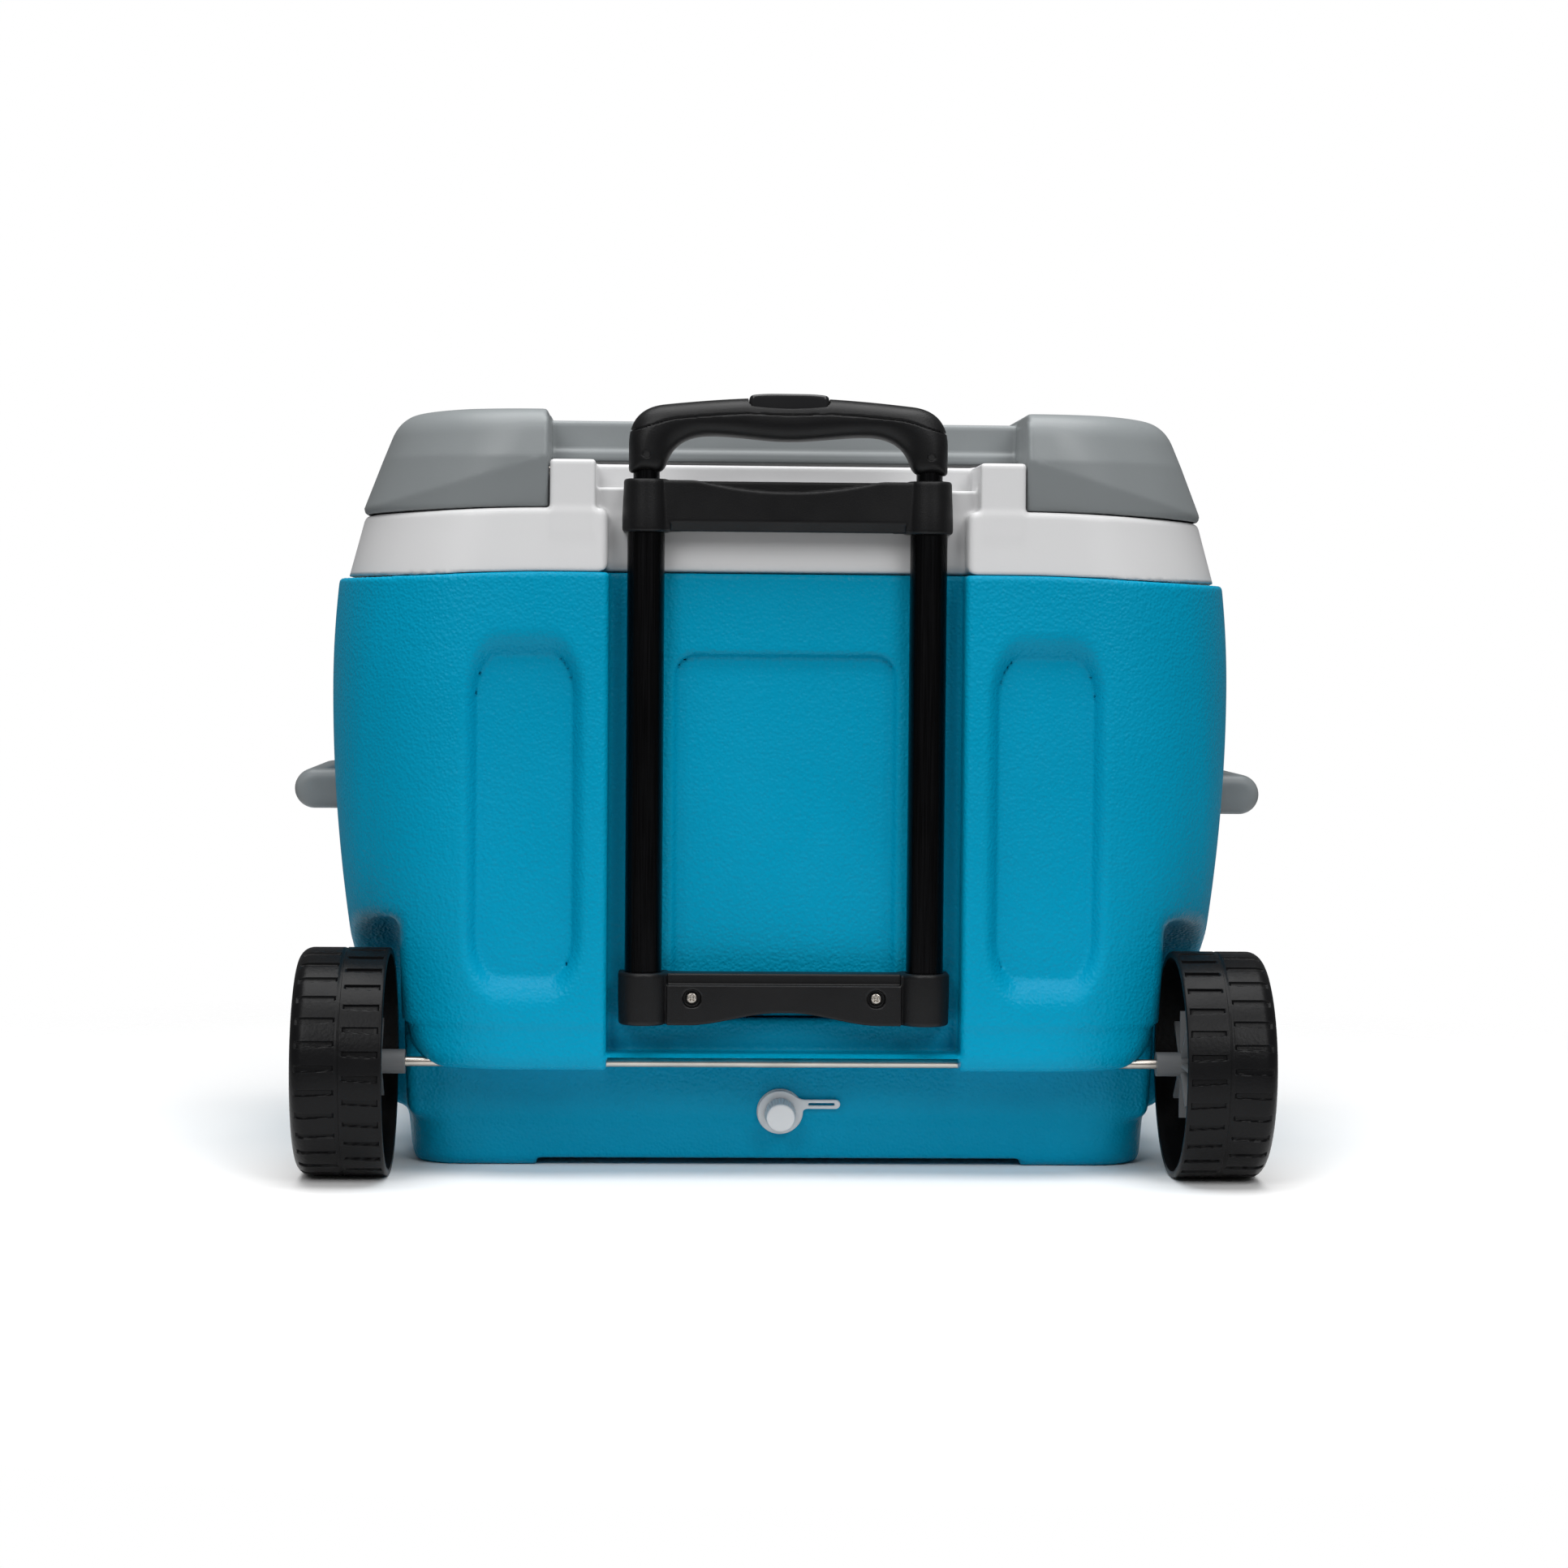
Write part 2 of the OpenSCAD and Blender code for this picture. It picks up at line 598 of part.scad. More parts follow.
module drain_tether() color(white) drain_place() difference() {
    union() {
        translate([0, 0, 4]) cylinder(h = 2, r = 15);
        translate([10, 2.35, 4]) cube([26.75, 6.5, 2]);
        translate([36.75, 5.6, 4]) cylinder(h = 2, r = 3.25);
    }
    translate([0, 0, 3]) cylinder(h = 4, r = 9.1);
    translate([18, 4.8, 3]) cube([18, 1.6, 4]);
}

module drain_cap() color(white) drain_place() difference() {
    union() {
        translate([0, 0, 6.4]) cylinder(h = 13.6, r = 10.2);
        for (a = [0:12:348]) rotate(a) translate([10, -0.5, 7]) cube([0.9, 1, 11.6]);
    }
    translate([0, 0, 6]) cylinder(h = 11, r = 8.8);
}

module cap_gasket() color(black) drain_place() difference() {
    translate([0, 0, 15.9]) cylinder(h = 1, r = 8.5);
    translate([0, 0, 15]) cylinder(h = 3, r = 5);
}

body_shell();
body_foam();
liner();
lid_shell();
lid_foam();
lid_liner();
hinge_pin_left();
hinge_pin_right();
side_handle_left();
side_handle_right();
side_handle_pins_left();
side_handle_pins_right();
axle();
axle_push_nuts();
tyre_left();
tyre_right();
wheel_hub_left();
wheel_hub_right();
hub_cap_left();
hub_cap_right();
top_bracket();
bottom_bracket();
bracket_screws();
outer_tube_left();
outer_tube_right();
outer_bush_left();
outer_bush_right();
middle_tube_left();
middle_tube_right();
middle_bush_left();
middle_bush_right();
middle_glide_left();
middle_glide_right();
inner_tube_left();
inner_tube_right();
inner_glide_left();
inner_glide_right();
latch_block_left();
latch_block_right();
latch_pins();
grip();
grip_pins();
grip_button();
button_bar();
release_rod_left();
release_rod_right();
button_spring();
drain_spout();
drain_gasket();
drain_nut();
drain_tether();
drain_cap();
cap_gasket();
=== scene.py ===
import json
import math

import bpy
import numpy as np
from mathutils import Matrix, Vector


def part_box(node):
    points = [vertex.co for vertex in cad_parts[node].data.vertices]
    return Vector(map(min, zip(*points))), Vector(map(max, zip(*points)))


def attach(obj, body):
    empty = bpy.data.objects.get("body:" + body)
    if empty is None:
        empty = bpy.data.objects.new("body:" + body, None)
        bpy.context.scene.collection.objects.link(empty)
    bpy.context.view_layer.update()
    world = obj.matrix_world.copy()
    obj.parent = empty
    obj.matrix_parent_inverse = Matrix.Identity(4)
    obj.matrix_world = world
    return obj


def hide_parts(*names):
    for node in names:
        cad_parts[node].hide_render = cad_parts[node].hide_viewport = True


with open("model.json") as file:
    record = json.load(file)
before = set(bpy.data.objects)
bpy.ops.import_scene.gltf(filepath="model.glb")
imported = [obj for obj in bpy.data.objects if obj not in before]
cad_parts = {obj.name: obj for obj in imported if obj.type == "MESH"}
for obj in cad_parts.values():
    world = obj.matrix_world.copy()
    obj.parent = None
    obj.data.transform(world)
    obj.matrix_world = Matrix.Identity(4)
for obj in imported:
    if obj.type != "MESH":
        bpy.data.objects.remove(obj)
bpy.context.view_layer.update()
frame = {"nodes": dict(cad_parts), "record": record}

# Shapes are worked out in millimetres in the part's frame, and stored in metres.
MM = 0.001


def node_box(node):
    """A CAD node's lowest and highest corners in millimetres."""
    lo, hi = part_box(node)
    return np.array(lo) / MM, np.array(hi) / MM


# ---- distance fields: negative inside, in millimetres ----

def smooth_max(a, b, k):
    """The overlap of two fields, with the edge between them rounded over about k."""
    h = np.clip(0.5 + 0.5 * (a - b) / k, 0, 1)
    return b + (a - b) * h + k * h * (1 - h)


def smooth_min(a, b, k):
    """The union of two fields, with the corner between them filled over about k."""
    return -smooth_max(-a, -b, k)


def step(a, b, t):
    """0 below a, 1 above b, and an S curve between."""
    u = np.clip((t - a) / (b - a), 0, 1)
    return u * u * (3 - 2 * u)


def rounded(qx, qy, r):
    """A corner of radius r between the faces at distances qx and qy."""
    inner = np.minimum(np.maximum(qx, qy) + r, 0)
    return np.hypot(np.maximum(qx + r, 0), np.maximum(qy + r, 0)) + inner - r


def slab(t, lo, hi):
    """Distance to a slab between lo and hi."""
    return np.abs(t - (lo + hi) / 2) - (hi - lo) / 2


def block(p, lo, hi, r):
    """A box with every edge rounded by r."""
    q = [slab(p[i], lo[i], hi[i]) + r for i in range(3)]
    out = np.sqrt(sum(np.maximum(c, 0) ** 2 for c in q))
    return out + np.minimum(np.maximum(np.maximum(q[0], q[1]), q[2]), 0) - r


def grid(lo, hi, *zones, coarse=3.0):
    """Grid lines from lo to hi, spaced coarse apart, or finer in each zone (start, end, spacing)."""
    lines = [lo]
    while lines[-1] < hi:
        t = lines[-1]
        spacing = min([s for a, b, s in zones if a <= t < b] + [coarse])
        lines.append(t + spacing)
    return np.array(lines)


def mirrored(lines):
    """Grid lines on both sides of the middle."""
    return np.concatenate([-lines[:0:-1], lines])


def surface_points(field, axes):
    """The surface's crossings, one mesh vertex in each grid cell that it passes, and the quads."""
    x, y, z = axes
    f = field((x[:, None, None], y[None, :, None], z[None, None, :]))
    shape = np.array([len(a) for a in axes])
    f = np.broadcast_to(f, shape).astype(np.float32)
    cells = shape - 1
    inside = f < 0
    flats, sums, edges = [], [], []
    for a in range(3):
        lower = [slice(None)] * 3
        upper = [slice(None)] * 3
        lower[a], upper[a] = slice(0, -1), slice(1, None)
        f0, f1 = f[tuple(lower)], f[tuple(upper)]
        at = np.argwhere(inside[tuple(lower)] != inside[tuple(upper)])
        v0 = f0[tuple(at.T)]
        v1 = f1[tuple(at.T)]
        t = v0 / (v0 - v1)
        point = np.stack([axes[i][at[:, i]] for i in range(3)], 1)
        point[:, a] += t * (axes[a][at[:, a] + 1] - axes[a][at[:, a]])
        b, c = (a + 1) % 3, (a + 2) % 3
        ring = []
        for db, dc in ((1, 1), (0, 1), (0, 0), (1, 0)):
            cell = at.copy()
            cell[:, b] -= db
            cell[:, c] -= dc
            ring.append(np.ravel_multi_index(np.clip(cell, 0, cells - 1).T, cells))
            flats.append(ring[-1])
            sums.append(point)
        ring = np.stack(ring, 1)
        ring[v0 > 0] = ring[v0 > 0][:, ::-1]
        edges.append(ring)
    flats, sums = np.concatenate(flats), np.concatenate(sums)
    used, place = np.unique(flats, return_inverse=True)
    count = np.bincount(place)
    points = np.stack([np.bincount(place, sums[:, i]) / count for i in range(3)], 1)
    quads = np.searchsorted(used, np.concatenate(edges))
    return points, quads


def settle(field, points, reach, passes=4):
    """Moves each vertex onto the true surface along the field's slope."""
    e = 0.15
    for _ in range(passes):
        value = field(tuple(points.T))
        slope = np.zeros_like(points)
        for i in range(3):
            ahead, behind = points.copy(), points.copy()
            ahead[:, i] += e
            behind[:, i] -= e
            slope[:, i] = (field(tuple(ahead.T)) - field(tuple(behind.T))) / (2 * e)
        size = np.maximum((slope ** 2).sum(1), 0.25)
        move = -np.clip(value / size, -reach, reach)[:, None] * slope
        points = points + move
    return points


def make_mesh(name, points, faces, material):
    mesh = bpy.data.meshes.new(name)
    mesh.from_pydata((np.asarray(points) * MM).tolist(), [], [tuple(f) for f in faces])
    mesh.validate()
    mesh.polygons.foreach_set("use_smooth", np.ones(len(mesh.polygons), bool))
    mesh.materials.append(material)
    piece = bpy.data.objects.new(name, mesh)
    bpy.context.scene.collection.objects.link(piece)
    return piece


def moulding(name, field, axes, material, body, slot, *nodes, reach=1.0):
    """A moulded piece: the field's surface, in place of CAD nodes, riding on a body."""
    points, quads = surface_points(field, axes)
    points = settle(field, points, reach)
    piece = make_mesh(name, points, quads.tolist(), material)
    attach(piece, body)
    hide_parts(*nodes)
    return piece


# ---- materials ----

class Nodes:
    """A short way to write a material's nodes."""

    def __init__(self, name):
        self.material = bpy.data.materials.new(name)
        self.material.use_nodes = True
        self.tree = self.material.node_tree
        self.shader = self.tree.nodes["Principled BSDF"]
        self.place = self.tree.nodes.new("ShaderNodeTexCoord").outputs["Object"]

    def link(self, a, b):
        self.tree.links.new(a, b)

    def noise(self, scale, detail=3.0, stretch=None):
        node = self.tree.nodes.new("ShaderNodeTexNoise")
        node.inputs["Scale"].default_value = scale
        node.inputs["Detail"].default_value = detail
        self.link(self.stretched(stretch), node.inputs["Vector"])
        return node.outputs["Fac"]

    def pebbles(self, scale):
        node = self.tree.nodes.new("ShaderNodeTexVoronoi")
        node.feature = "SMOOTH_F1"
        node.inputs["Scale"].default_value = scale
        node.inputs["Smoothness"].default_value = 0.6
        self.link(self.place, node.inputs["Vector"])
        return node.outputs["Distance"]

    def stretched(self, stretch):
        if stretch is None:
            return self.place
        node = self.tree.nodes.new("ShaderNodeMapping")
        node.inputs["Scale"].default_value = stretch
        self.link(self.place, node.inputs["Vector"])
        return node.outputs["Vector"]

    def spread(self, value, low, high, start=0.3, end=0.7):
        """value from start to end becomes low to high."""
        node = self.tree.nodes.new("ShaderNodeMapRange")
        for key, number in zip(("From Min", "From Max", "To Min", "To Max"), (start, end, low, high)):
            node.inputs[key].default_value = number
        self.link(value, node.inputs["Value"])
        return node.outputs["Result"]

    def blend(self, amount, a, b):
        node = self.tree.nodes.new("ShaderNodeMix")
        node.data_type = "RGBA"
        self.link(amount, node.inputs["Factor"])
        for socket, colour in (("A", a), ("B", b)):
            target = [s for s in node.inputs if s.name == socket and s.type == "RGBA"][0]
            if isinstance(colour, tuple):
                target.default_value = (*colour, 1)
            else:
                self.link(colour, target)
        return [s for s in node.outputs if s.type == "RGBA"][0]

    def worn_edges(self, colour, worn, amount):
        """A paler colour along the edges that rub."""
        shape = self.tree.nodes.new("ShaderNodeNewGeometry").outputs["Pointiness"]
        return self.blend(self.spread(shape, 0.0, amount, 0.52, 0.62), colour, worn)

    def bumps(self, *layers):
        """Height layers (value, strength, depth in metres), one over another."""
        last = None
        for value, strength, depth in layers:
            node = self.tree.nodes.new("ShaderNodeBump")
            node.inputs["Strength"].default_value = strength
            node.inputs["Distance"].default_value = depth
            self.link(value, node.inputs["Height"])
            if last is not None:
                self.link(last, node.inputs["Normal"])
            last = node.outputs["Normal"]
        self.link(last, self.shader.inputs["Normal"])

    def finish(self, colour, roughness, metallic=0.0, specular=0.5):
        self.link(colour, self.shader.inputs["Base Color"])
        self.link(roughness, self.shader.inputs["Roughness"])
        self.shader.inputs["Metallic"].default_value = metallic
        self.shader.inputs["Specular IOR Level"].default_value = specular
        return self.material


def shade(colour, by):
    return tuple(c * by for c in colour)


def plastic(name, colour, roughness, grain, depth, specular=0.35, wear=0.15, mottling=0.06,
            strength=0.5):
    """A moulded plastic: fine grain of the given size in metres, soft mottling and rubbed edges."""
    n = Nodes(name)
    cloud = n.noise(9, 4)
    tone = n.blend(n.spread(cloud, 0, 1), shade(colour, 1 - mottling), shade(colour, 1 + mottling))
    worn = n.worn_edges(tone, tuple(min(1, c * 1.3 + 0.03) for c in colour), wear)
    rough = n.spread(n.noise(35, 5), roughness - 0.05, roughness + 0.06)
    n.bumps((n.noise(1 / grain, 2), strength, depth), (n.noise(60, 3), 0.15, depth * 2))
    return n.finish(worn, rough, specular=specular)


def shell_blue():
    """The blue shell: a pebbled skin that catches small glints, slightly uneven in tone."""
    n = Nodes("blue_shell")
    colour = (0.0, 0.262, 0.432)
    cloud = n.noise(7, 4)
    tone = n.blend(n.spread(cloud, 0, 1), shade(colour, 0.95), shade(colour, 1.05))
    fine = n.blend(n.spread(n.noise(700, 2), 0, 0.14), tone, shade(colour, 1.25))
    worn = n.worn_edges(fine, (0.0, 0.36, 0.56), 0.2)
    rough = n.spread(n.noise(30, 5), 0.30, 0.40)
    n.bumps((n.pebbles(480), 0.8, 0.0005), (n.noise(260, 3), 0.7, 0.0005),
            (n.noise(14, 2), 0.25, 0.001))
    return n.finish(worn, rough, specular=0.08)


def metal(name, colour, roughness, along=(1, 1, 1), depth=0.00002):
    """Drawn or ground metal: fine lines along its length, with stains."""
    n = Nodes(name)
    stain = n.noise(40, 5)
    tone = n.blend(n.spread(stain, 0, 1), shade(colour, 0.82), colour)
    lines = n.noise(900, 3, along)
    rough = n.spread(lines, roughness - 0.06, roughness + 0.1)
    n.bumps((lines, 0.4, depth))
    return n.finish(tone, rough, metallic=1.0)


BLUE = shell_blue()
WHITE = plastic("white_plastic", (0.61, 0.61, 0.615), 0.36, 0.0016, 0.00006, mottling=0.02, wear=0.05)
GREY = plastic("grey_plastic", (0.205, 0.222, 0.228), 0.40, 0.0012, 0.00008, mottling=0.04)
HUB_GREY = plastic("hub_grey", (0.13, 0.135, 0.14), 0.5, 0.0012, 0.0001)
BLACK = plastic("black_plastic", (0.005, 0.005, 0.0055), 0.40, 0.0008, 0.00016, 0.22,
                strength=0.8, wear=0.3)
TREAD = plastic("tread_black", (0.005, 0.005, 0.0055), 0.34, 0.0022, 0.0002, 0.12,
                strength=0.7, wear=0.5)
BUTTON_BLACK = plastic("button_black", (0.012, 0.012, 0.013), 0.18, 0.0008, 0.00004)
RUBBER = plastic("seal_rubber", (0.02, 0.02, 0.02), 0.7, 0.0015, 0.0001)
TUBE = metal("black_tube", (0.014, 0.014, 0.015), 0.28, (1, 1, 0.02), 0.00001)
STEEL = metal("plain_steel", (0.55, 0.51, 0.46), 0.30, (0.02, 1, 1))
FOAM = plastic("insulating_foam", (0.78, 0.66, 0.40), 0.8, 0.002, 0.0006)

BY_SLOT = {
    "blue_shell": BLUE, "white_plastic": WHITE, "grey_plastic": GREY, "black_plastic": BLACK,
    "black_tube": TUBE, "tread_black": TREAD, "plain_steel": STEEL, "seal_rubber": RUBBER,
    "insulating_foam": FOAM,
}


def paint_cad_nodes():
    """Gives every CAD node that shows the material of its slot."""
    for entry in frame["record"]["subparts"]:
        ob = frame["nodes"][entry["node"]]
        material = HUB_GREY if "hub" in entry["node"] else BY_SLOT[entry["material_slot"]]
        ob.data.materials.clear()
        ob.data.materials.append(material)


paint_cad_nodes()

# ---- sizes that several pieces share, read from the frame ----

SHELL_LO, SHELL_HI = node_box("body_shell")
LINER_LO, LINER_HI = node_box("liner")
LID_LO, LID_HI = node_box("lid_shell")
AXLE_LO, AXLE_HI = node_box("axle")
AXLE_Y, AXLE_Z = ((AXLE_LO + AXLE_HI) / 2)[1:]
TUBE_LO, TUBE_HI = node_box("outer_tube_right")
LEG_X, LEG_Y = ((TUBE_LO + TUBE_HI) / 2)[:2]
REAR, FRONT, SHELL_TOP = SHELL_LO[1], SHELL_HI[1], SHELL_HI[2]
HALF_W = SHELL_HI[0]
LEDGE = LID_LO[2] - 0.6
RIM_TOP = LINER_HI[2]
WIDEST_Z = 315
CHANNEL_HALF = 114.5
CHANNEL_Y = REAR + 25
UNDER_BULGE = 71
POST_IN, POST_OUT = 123.5, 152.7
BLOCK_X = 153.5
DRAIN_Z = 38
DRAIN_Y = REAR + 58 + 10 * (UNDER_BULGE - DRAIN_Z) / UNDER_BULGE
DRAIN_TILT = math.radians(8)
SIDE_PIVOT, SIDE_REACH, SIDE_Z = 286, 27, 247
SHELL_WALL, TUB_WALL, LID_WALL = 6, 4.5, 5.0
FLOOR_Z = 30
WELL_R = 94
SCREW_X, SCREW_Z, SCREW_HEAD_Y = 59.5, 118.4, -181.1
BRACKET_FACE = -186.5
SLEEVE_R = 12.1
DRAIN_BORE = 8.6
PIN_Z = 467
HINGE_Y, HINGE_Z = -172, 457
BUTTON_X, BUTTON_LOW = 26, 494
PRESS = 4
LIP_FALL = 4.2


def barrel_half(z):
    """Half width of the body at height z."""
    draft = np.where(z < WIDEST_Z, 0.00046, 0.0008)
    return HALF_W - draft * (z - WIDEST_Z) ** 2


def dip(across):
    """How far the seams between shell, collar and lid fall towards the two ends."""
    return LIP_FALL * step(150, 288, across)


def plan_edge(across, y, half, rear, front, rear_r, front_r):
    """Distance to a plan outline with one radius at the rear corners and another at the front."""
    middle, deep = (rear + front) / 2, (front - rear) / 2
    r = np.where(y < middle, rear_r, front_r)
    return rounded(across - half, np.abs(y - middle) - deep, r)


# ---- the blue shell ----

def panel_dent(x, z, cx, cz, half_w, half_h, r, slope, tall=1.0):
    """1 on a round-cornered panel's floor, falling to 0 over the slope round it."""
    down = np.maximum(np.abs(z - cz) - (half_h - r), 0) / tall
    side = np.maximum(np.abs(np.abs(x) - cx) - (half_w - r), 0)
    return np.clip(1 - (np.hypot(side, down) - r) / slope, 0, 1) ** 1.8


def shell_form(p):
    """The shell's outer form, without its open top."""
    x, y, z = p
    across = np.abs(x)
    side_dent = panel_dent(x, z, 168, 234.5, 30.5, 91.5, 15, 10, 1.8)
    mid_dent = panel_dent(x, z, 0, 221.5, 70, 116.5, 12, 4)
    mould_line = 0.8 * step(100.5, 98, z)
    back = step(-60, -120, y) * (10 * side_dent + 5.5 * mid_dent + mould_line)
    y_in = y - back
    lean = 14 * step(190, 0, z) * step(0, 200, y) + 5 * step(WIDEST_Z, SHELL_TOP, z) * step(0, 200, y)
    plan = plan_edge(across + HALF_W - barrel_half(z), y_in + lean, HALF_W, REAR, FRONT - 2.2,
                     100, 75)
    bulge_side = across - 245 - 90 * step(-131, -100, y) - 100 * step(98, 112, z)
    upper = smooth_max(plan, rounded(bulge_side, UNDER_BULGE - z, 27), 12)
    wall = REAR + 58 + 10 * (UNDER_BULGE - z) / UNDER_BULGE
    lower = smooth_max(smooth_max(plan, wall - y, 14), 33 - z, 8)
    base_half = 250 - 3 * step(40, 0, z)
    base = smooth_max(plan_edge(across, y + lean, base_half, wall, FRONT - 4.2, 36, 60), -z, 8)
    base = smooth_max(base, -smooth_max(across - 161, z - 5, 3), 2)
    form = smooth_min(smooth_min(upper, lower, 5), base, 8)
    arch = np.hypot(y - AXLE_Y, z - AXLE_Z) - WELL_R
    below = np.maximum(np.abs(y - AXLE_Y) - np.where(y < AXLE_Y, 200, 90), z - AXLE_Z)
    well = smooth_max(np.minimum(arch, below), 249.5 - 0.02 * (168 - z) - across, 10)
    form = smooth_max(form, -well, 8)
    channel = np.maximum(np.maximum(across - CHANNEL_HALF, y - CHANNEL_Y - 5.5 * mid_dent), 82 - z)
    form = smooth_max(form, -channel, 6)
    slot = np.maximum(np.maximum(across - CHANNEL_HALF, y + 130), z - 79.6)
    form = smooth_max(form, -slot, 2)
    pocket = np.maximum(np.maximum(slab(y, -79, 79), slab(z, 209, 293)), SIDE_PIVOT - 16.5 - across)
    return smooth_max(form, -pocket, 6)


def drain_radius(p):
    """Distance from the drain's tilted axis."""
    x, y, z = p
    off = (z - DRAIN_Z) * math.cos(DRAIN_TILT) - (y - DRAIN_Y) * math.sin(DRAIN_TILT)
    return np.hypot(x, off)


def shell_field(p):
    form = shell_form(p)
    cavity = form + SHELL_WALL
    field = smooth_max(form, -cavity, 1)
    field = smooth_max(field, p[2] - SHELL_TOP + dip(np.abs(p[0])), 3)
    hole = np.maximum(drain_radius(p) - DRAIN_BORE, p[1] + 100)
    return np.maximum(field, -hole)


def make_shell():
    across = mirrored(grid(0, HALF_W + 6, (105, 150, 2.2), (190, 250, 2.4), coarse=3.6))
    deep = grid(REAR - 6, FRONT + 10, (REAR - 8, -104, 2.5), (-104, -56, 4), (145, FRONT + 12, 3),
                coarse=8)
    high = grid(-6, SHELL_TOP + 6, (-8, 14, 1.7), (60, 100, 2.2), (380, 400, 1.6), coarse=3.2)
    moulding("body_shell_skin", shell_field, (across, deep, high), BLUE, "cooler",
             "blue_shell", "body_shell", reach=1.5)


# ---- the white collar, posts and tub ----

def tub_form(p, grow):
    x, y, z = p
    up = (z - FLOOR_Z) / (RIM_TOP - FLOOR_Z)
    half = 208 + 35 * up + grow
    rear = -90 - 24 * up - grow
    front = 172 + 26 * up + grow
    return plan_edge(np.abs(x), y, half, rear, front, 40 + grow, 40 + grow)


def liner_field(p):
    x, y, z = p
    across = np.abs(x)
    level = z + dip(across)
    up = (level - SHELL_TOP) / (LEDGE - SHELL_TOP)
    plan = plan_edge(across, y, 288 - 11 * up, REAR + 2 + 2 * up, FRONT - 7 - 4 * up, 93, 68)
    band = smooth_max(smooth_max(plan, level - LEDGE, 4), SHELL_TOP + 0.3 - level, 1)
    recess = np.maximum(across - CHANNEL_HALF - 1, y - CHANNEL_Y)
    band = smooth_max(band, -recess, 7)
    ledge = block((across, y, z), (-50, CHANNEL_Y, LEDGE - 20), (POST_IN + 4, -112, 447), 2)
    post = block((across, y, z), (POST_IN, REAR + 4, LEDGE - 20), (POST_OUT, -112, RIM_TOP), 2.2)
    rim = smooth_max(smooth_max(tub_form(p, 6.5), -120 - y, 2), z - RIM_TOP, 2.5)
    rim = np.maximum(rim, LEDGE - 8 - z)
    field = smooth_min(smooth_min(band, ledge, 2), smooth_min(post, rim, 2), 2.5)
    tub = smooth_max(tub_form(p, TUB_WALL), FLOOR_Z - 5 - z, 16)
    tub = np.maximum(tub, z - LEDGE)
    field = np.minimum(field, tub)
    cavity = smooth_max(tub_form(p, 0), FLOOR_Z - z, 24)
    field = smooth_max(field, -cavity, 2.5)
    hole = np.maximum(drain_radius(p) - DRAIN_BORE, y + 60)
    return np.maximum(field, -hole)


def body_foam_field(p):
    """The foam between the shell and the tub."""
    x, y, z = p
    field = smooth_max(shell_form(p) + 7, z - SHELL_TOP + 7, 2)
    field = smooth_max(field, -smooth_max(tub_form(p, 5.2), 24 - z, 16), 2)
    boss = np.maximum(np.hypot(np.abs(x) - SIDE_PIVOT, z - SIDE_Z) - 8, slab(np.abs(y), 74, 92))
    return np.maximum(field, -np.minimum(boss, drain_radius(p) - 9.5))


def make_body_foam():
    across = mirrored(grid(0, HALF_W, coarse=6))
    deep = grid(REAR - 2, FRONT + 4, coarse=6)
    high = grid(0, SHELL_TOP + 6, (0, 14, 3), coarse=6)
    moulding("body_foam_fill", body_foam_field, (across, deep, high), FOAM, "cooler",
             "insulating_foam", "body_foam", reach=1.5)


def make_liner():
    across = mirrored(grid(0, LINER_HI[0] + 6, (108, 160, 1.8), (160, 292, 2.4), coarse=4))
    deep = grid(LINER_LO[1] - 5, LINER_HI[1] + 6, (-195, -84, 2.0), (-84, -45, 2.6),
                (125, 205, 2.6), coarse=5)
    high = grid(20, RIM_TOP + 5, (20, 60, 2.4), (386, 398, 1.7), (424, 470, 1.6), coarse=5)
    moulding("liner_tub", liner_field, (across, deep, high), WHITE, "cooler",
             "white_plastic", "liner", reach=1.2)


# ---- the lid ----

LID_BAR_Y = -112
LID_MID_TOP = 493


def lid_form(p, wall):
    """The lid's outer form before its middle is cut down, with its walls moved in by wall."""
    x, y, z = p
    across = np.abs(x)
    up = np.maximum(z - LID_LO[2], 0)
    side = 0.39 * np.minimum(up, 59) + 0.2 * np.maximum(up - 59, 0)
    back = 0.21 * np.maximum(z - 466, 0)
    front = 0.14 * up
    plan = plan_edge(across + side, y - back * (y < 0) + front * (y > 0), 278, -186.5, 224, 92, 66)
    form = smooth_max(plan, z - LID_HI[2] + 0.8 * step(200, 250, across), 16)
    crease = LID_LO[2] + 32.4 * np.clip(1 - (across - 155) / 118, 0, 1) ** 1.15
    form = form + 0.26 * np.maximum(crease - z, 0) * step(-50, -90, y)
    return form + wall


def lid_outside(p, wall=0.0):
    """The lid's outside: two raised blocks, a lower middle and the notch for the pull handle."""
    x, y, z = p
    across = np.abs(x)
    form = lid_form(p, wall)
    step_down = np.maximum(across - BLOCK_X - wall, LID_MID_TOP - wall - z)
    form = smooth_max(form, -step_down, 4)
    face = LID_BAR_Y + 2.2 * step(472.5, 474.5, z)
    gap = np.maximum(across - BLOCK_X - wall, y - face - wall)
    return smooth_max(form, -gap, 3)


def lid_field(p):
    x, y, z = p
    across = np.abs(x)
    field = smooth_max(lid_outside(p), -lid_outside(p, LID_WALL), 1)
    field = smooth_max(field, LID_LO[2] + 0.2 - z - dip(across), 1.5)
    under = np.maximum(np.maximum(across - BLOCK_X - 6.5, z - 466.2), np.maximum(-132 - y, y - 212))
    field = np.maximum(field, -under)
    boss = np.maximum(np.hypot(y - HINGE_Y, z - HINGE_Z) - 8, slab(across, BLOCK_X + 1, 170))
    return smooth_min(field, boss, 2)


